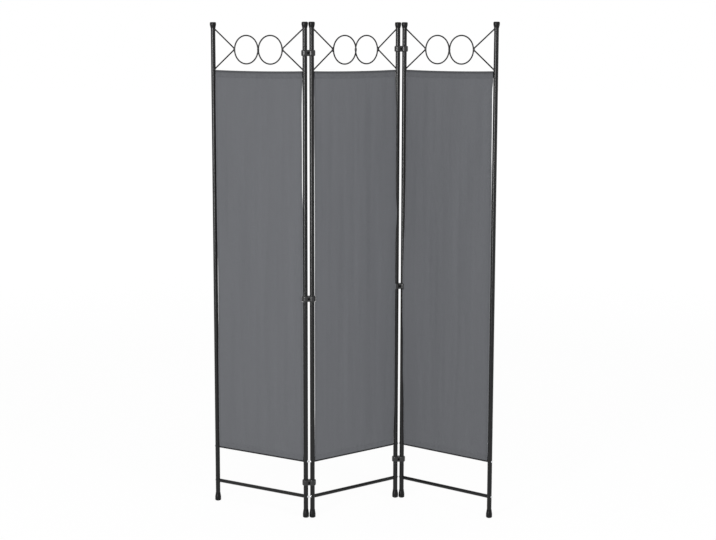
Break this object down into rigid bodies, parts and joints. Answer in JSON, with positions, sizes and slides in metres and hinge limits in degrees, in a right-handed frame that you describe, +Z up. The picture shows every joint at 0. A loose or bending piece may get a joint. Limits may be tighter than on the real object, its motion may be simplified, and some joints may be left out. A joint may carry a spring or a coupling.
{
  "type": "folding screen",
  "caption": "Folding room divider: framed cloth panels on round posts with ring-and-wire headers, joined by figure-of-eight clips that let it stand in a zigzag or fold flat.",
  "frame": {"origin": "on the floor, under the centre of the bounding box of the standing zigzag", "axes": "+Z up along the posts; +X to the right across the front; the cloth's outer faces look towards -Y"},
  "size_m": [1.0009, 0.265, 1.75],
  "materials": {
    "powder_coat": "satin black powder coat on steel tube and wire",
    "end_plastic": "black moulded plastic, slightly glossy",
    "clip_plastic": "black moulded plastic, satin",
    "black_steel": "black oxide screws",
    "zinc": "bright zinc plate",
    "bare_steel": "bare steel, inside the tubes",
    "cloth": "mid grey plain-woven polyester, matt with a faint sheen"
  },
  "bodies": {
    "left_panel": {"left_panel_left_post_upper": "powder_coat", "left_panel_left_post_lower": "powder_coat", "left_panel_right_post_upper": "powder_coat", "left_panel_right_post_lower": "powder_coat", "left_panel_post_joiners": "bare_steel", "left_panel_top_caps": "end_plastic", "left_panel_feet": "end_plastic", "left_panel_header_scroll": "powder_coat", "left_panel_top_rod": "powder_coat", "left_panel_bottom_rod": "powder_coat", "left_panel_cross_tube": "powder_coat", "left_panel_tube_plugs": "bare_steel", "left_panel_frame_screws": "zinc", "left_panel_cloth": "cloth"},
    "middle_panel": {"middle_panel_left_post_upper": "powder_coat", "middle_panel_left_post_lower": "powder_coat", "middle_panel_right_post_upper": "powder_coat", "middle_panel_right_post_lower": "powder_coat", "middle_panel_post_joiners": "bare_steel", "middle_panel_top_caps": "end_plastic", "middle_panel_feet": "end_plastic", "middle_panel_header_scroll": "powder_coat", "middle_panel_top_rod": "powder_coat", "middle_panel_bottom_rod": "powder_coat", "middle_panel_cross_tube": "powder_coat", "middle_panel_tube_plugs": "bare_steel", "middle_panel_frame_screws": "zinc", "middle_panel_cloth": "cloth"},
    "right_panel": {"right_panel_left_post_upper": "powder_coat", "right_panel_left_post_lower": "powder_coat", "right_panel_right_post_upper": "powder_coat", "right_panel_right_post_lower": "powder_coat", "right_panel_post_joiners": "bare_steel", "right_panel_top_caps": "end_plastic", "right_panel_feet": "end_plastic", "right_panel_header_scroll": "powder_coat", "right_panel_top_rod": "powder_coat", "right_panel_bottom_rod": "powder_coat", "right_panel_cross_tube": "powder_coat", "right_panel_tube_plugs": "bare_steel", "right_panel_frame_screws": "zinc", "right_panel_cloth": "cloth"},
    "left_hinge": {"left_hinge_low_clip_front": "clip_plastic", "left_hinge_low_clip_back": "clip_plastic", "left_hinge_middle_clip_front": "clip_plastic", "left_hinge_middle_clip_back": "clip_plastic", "left_hinge_top_clip_front": "clip_plastic", "left_hinge_top_clip_back": "clip_plastic", "left_hinge_clip_screws": "black_steel", "left_hinge_clip_nuts": "zinc"},
    "right_hinge": {"right_hinge_low_clip_front": "clip_plastic", "right_hinge_low_clip_back": "clip_plastic", "right_hinge_middle_clip_front": "clip_plastic", "right_hinge_middle_clip_back": "clip_plastic", "right_hinge_top_clip_front": "clip_plastic", "right_hinge_top_clip_back": "clip_plastic", "right_hinge_clip_screws": "black_steel", "right_hinge_clip_nuts": "zinc"}
  },
  "joints": [
    {"name": "left_clips_turn", "type": "hinge", "parent": "middle_panel", "child": "left_hinge", "pos_m": [-0.14054, -0.10811, 0], "axis": [0, 0, 1], "range_deg": [-53.5, 36.5]},
    {"name": "left_panel_turn", "type": "hinge", "parent": "left_hinge", "child": "left_panel", "pos_m": [-0.16404, -0.10811, 0], "axis": [0, 0, 1], "range_deg": [-58, 32]},
    {"name": "right_clips_turn", "type": "hinge", "parent": "middle_panel", "child": "right_hinge", "pos_m": [0.16773, 0.12001, 0], "axis": [0, 0, 1], "range_deg": [-53.5, 36.5]},
    {"name": "right_panel_turn", "type": "hinge", "parent": "right_hinge", "child": "right_panel", "pos_m": [0.19123, 0.12001, 0], "axis": [0, 0, 1], "range_deg": [-51, 39]}
  ]
}
